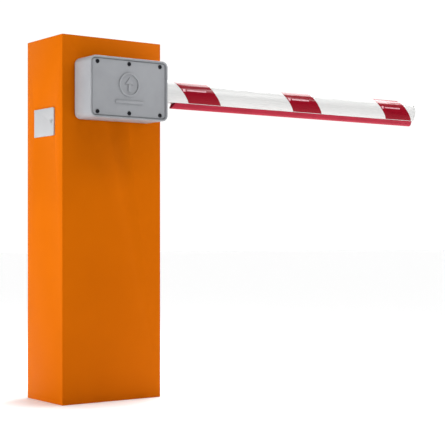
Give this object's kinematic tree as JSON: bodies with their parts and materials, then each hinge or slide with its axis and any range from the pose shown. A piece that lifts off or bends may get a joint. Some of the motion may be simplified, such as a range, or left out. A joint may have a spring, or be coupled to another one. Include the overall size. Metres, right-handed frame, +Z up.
{
  "type": "parking barrier gate",
  "caption": "Sheet steel barrier cabinet with a worm gearmotor, a balance spring, a clamped oval boom with red stickers, a rear door and a side release hatch.",
  "frame": {"origin": "centre of the anchor bolt pattern under the foot plate, on the floor", "axes": "+X along the lowered boom, -Y out of the front panel that the boom bracket covers, +Z up"},
  "size_m": [1.3252, 0.3184, 1.05],
  "materials": {
    "orange_paint": "smooth semi-gloss orange powder coat",
    "cast_grey": "fine-textured grey paint on a casting",
    "hatch_grey": "light grey moulded plastic",
    "boom_white": "white powder coat on aluminium",
    "cap_white": "white moulded plastic",
    "sticker_red": "glossy red reflective film",
    "bumper_red": "smooth red rubber",
    "black_oxide": "black oxide steel",
    "zinc": "zinc plated steel",
    "bare_steel": "machined steel",
    "dark_rubber": "black rubber",
    "bronze": "machined bronze",
    "cast_alu": "raw cast aluminium",
    "motor_black": "black paint on the motor can",
    "switch_black": "black moulded plastic",
    "cam_white": "white moulded plastic",
    "board_green": "green solder mask",
    "coil_tape": "yellow winding tape",
    "relay_blue": "blue relay cases",
    "terminal_green": "green moulded plastic",
    "knob_red": "red moulded plastic"
  },
  "bodies": {
    "cabinet": {"cabinet_shell": "orange_paint", "door_stop_frame": "orange_paint", "foot_plate": "zinc", "frame_rails": "zinc", "drive_plate": "bare_steel", "drive_plate_bolts": "black_oxide", "front_bearing_housing": "cast_alu", "bearing_outer_rings": "bare_steel", "shaft_collar": "dark_rubber", "gearbox_housing": "cast_alu", "gearbox_cover": "cast_alu", "gearbox_cover_screws": "black_oxide", "worm_bushes": "bronze", "worm_end_cap": "cast_alu", "motor_housing": "motor_black", "motor_end_bell": "cast_alu", "stop_screws": "zinc", "stop_buffers": "dark_rubber", "switch_bracket": "zinc", "limit_switches": "switch_black", "spring_anchor": "zinc", "door_hinge_pins": "zinc", "door_gasket": "dark_rubber", "control_plate": "zinc", "control_board": "board_green", "board_components": "relay_blue", "terminal_blocks": "terminal_green", "transformer": "coil_tape", "motor_cable": "dark_rubber", "hatch_frame": "hatch_grey", "hatch_hinge_pin": "zinc"},
    "boom": {"main_shaft": "bare_steel", "shaft_keys": "zinc", "bearing_inner_rings": "bare_steel", "worm_wheel": "bronze", "balance_lever": "zinc", "lever_pin": "bare_steel", "limit_cams": "cam_white", "bracket_housing": "cast_grey", "hub_bolt": "zinc", "clamp_saddles": "cast_alu", "clamp_bolts": "black_oxide", "bracket_cover": "cast_grey", "bracket_cover_screws": "black_oxide", "boom_tube": "boom_white", "bumper_profile": "bumper_red", "end_cap": "cap_white", "reflective_stickers": "sticker_red"},
    "ball_sets": {"bearing_balls": "bare_steel"},
    "worm": {"worm_rotor": "bare_steel"},
    "yoke": {"spring_yoke": "zinc"},
    "rod": {"spring_rod": "zinc", "balance_spring": "bare_steel"},
    "rear_door": {"rear_door_panel": "orange_paint", "rear_door_lock": "zinc"},
    "door_barrel": {"rear_door_barrel": "bare_steel"},
    "hatch": {"hatch_door": "hatch_grey"},
    "hatch_key": {"hatch_lock": "zinc"},
    "release": {"release_shaft": "bare_steel", "release_knob": "knob_red"}
  },
  "joints": [
    {"name": "boom_swing", "type": "hinge", "parent": "cabinet", "child": "boom", "pos_m": [0, 0, 0.897], "axis": [0, -1, 0], "range_deg": [0, 90], "deforming": ["balance_spring"]},
    {"name": "ball_orbit", "type": "hinge", "parent": "cabinet", "child": "ball_sets", "pos_m": [0, 0, 0.897], "axis": [0, -1, 0], "range_deg": [0, 39]},
    {"name": "worm_spin", "type": "hinge", "parent": "cabinet", "child": "worm", "pos_m": [0.066, -0.041, 0.897], "axis": [0, 0, 1], "range_deg": [-3601, 0]},
    {"name": "yoke_pivot", "type": "hinge", "parent": "boom", "child": "yoke", "pos_m": [-0.075, 0.028, 0.897], "axis": [0, -1, 0], "range_deg": [-96, 0]},
    {"name": "rod_tilt", "type": "hinge", "parent": "cabinet", "child": "rod", "pos_m": [-0.042, 0.028, 0.11], "axis": [0, -1, 0], "range_deg": [-6, 0]},
    {"name": "rear_door_hinge", "type": "hinge", "parent": "cabinet", "child": "rear_door", "pos_m": [0.164, 0.1114, 0.525], "axis": [0, 0, -1], "range_deg": [0, 110]},
    {"name": "door_lock_turn", "type": "hinge", "parent": "rear_door", "child": "door_barrel", "pos_m": [-0.135, 0.105, 0.56], "axis": [0, 1, 0], "range_deg": [-90, 0]},
    {"name": "hatch_hinge", "type": "hinge", "parent": "cabinet", "child": "hatch", "pos_m": [-0.168, 0.0548, 0.806], "axis": [0, 0, -1], "range_deg": [0, 100]},
    {"name": "hatch_key_turn", "type": "hinge", "parent": "hatch", "child": "hatch_key", "pos_m": [-0.1685, -0.05, 0.806], "axis": [1, 0, 0], "range_deg": [0, 90]},
    {"name": "release_turn", "type": "hinge", "parent": "cabinet", "child": "release", "pos_m": [-0.13, -0.005, 0.806], "axis": [1, 0, 0], "range_deg": [0, 90]}
  ],
  "couplings": [
    {"joint": "ball_orbit", "follows": "boom_swing", "ratio": 0.42585},
    {"joint": "worm_spin", "follows": "boom_swing", "ratio": -40},
    {"joint": "yoke_pivot", "follows": "boom_swing", "ratio": -1.0642},
    {"joint": "rod_tilt", "follows": "boom_swing", "ratio": -0.06419}
  ]
}
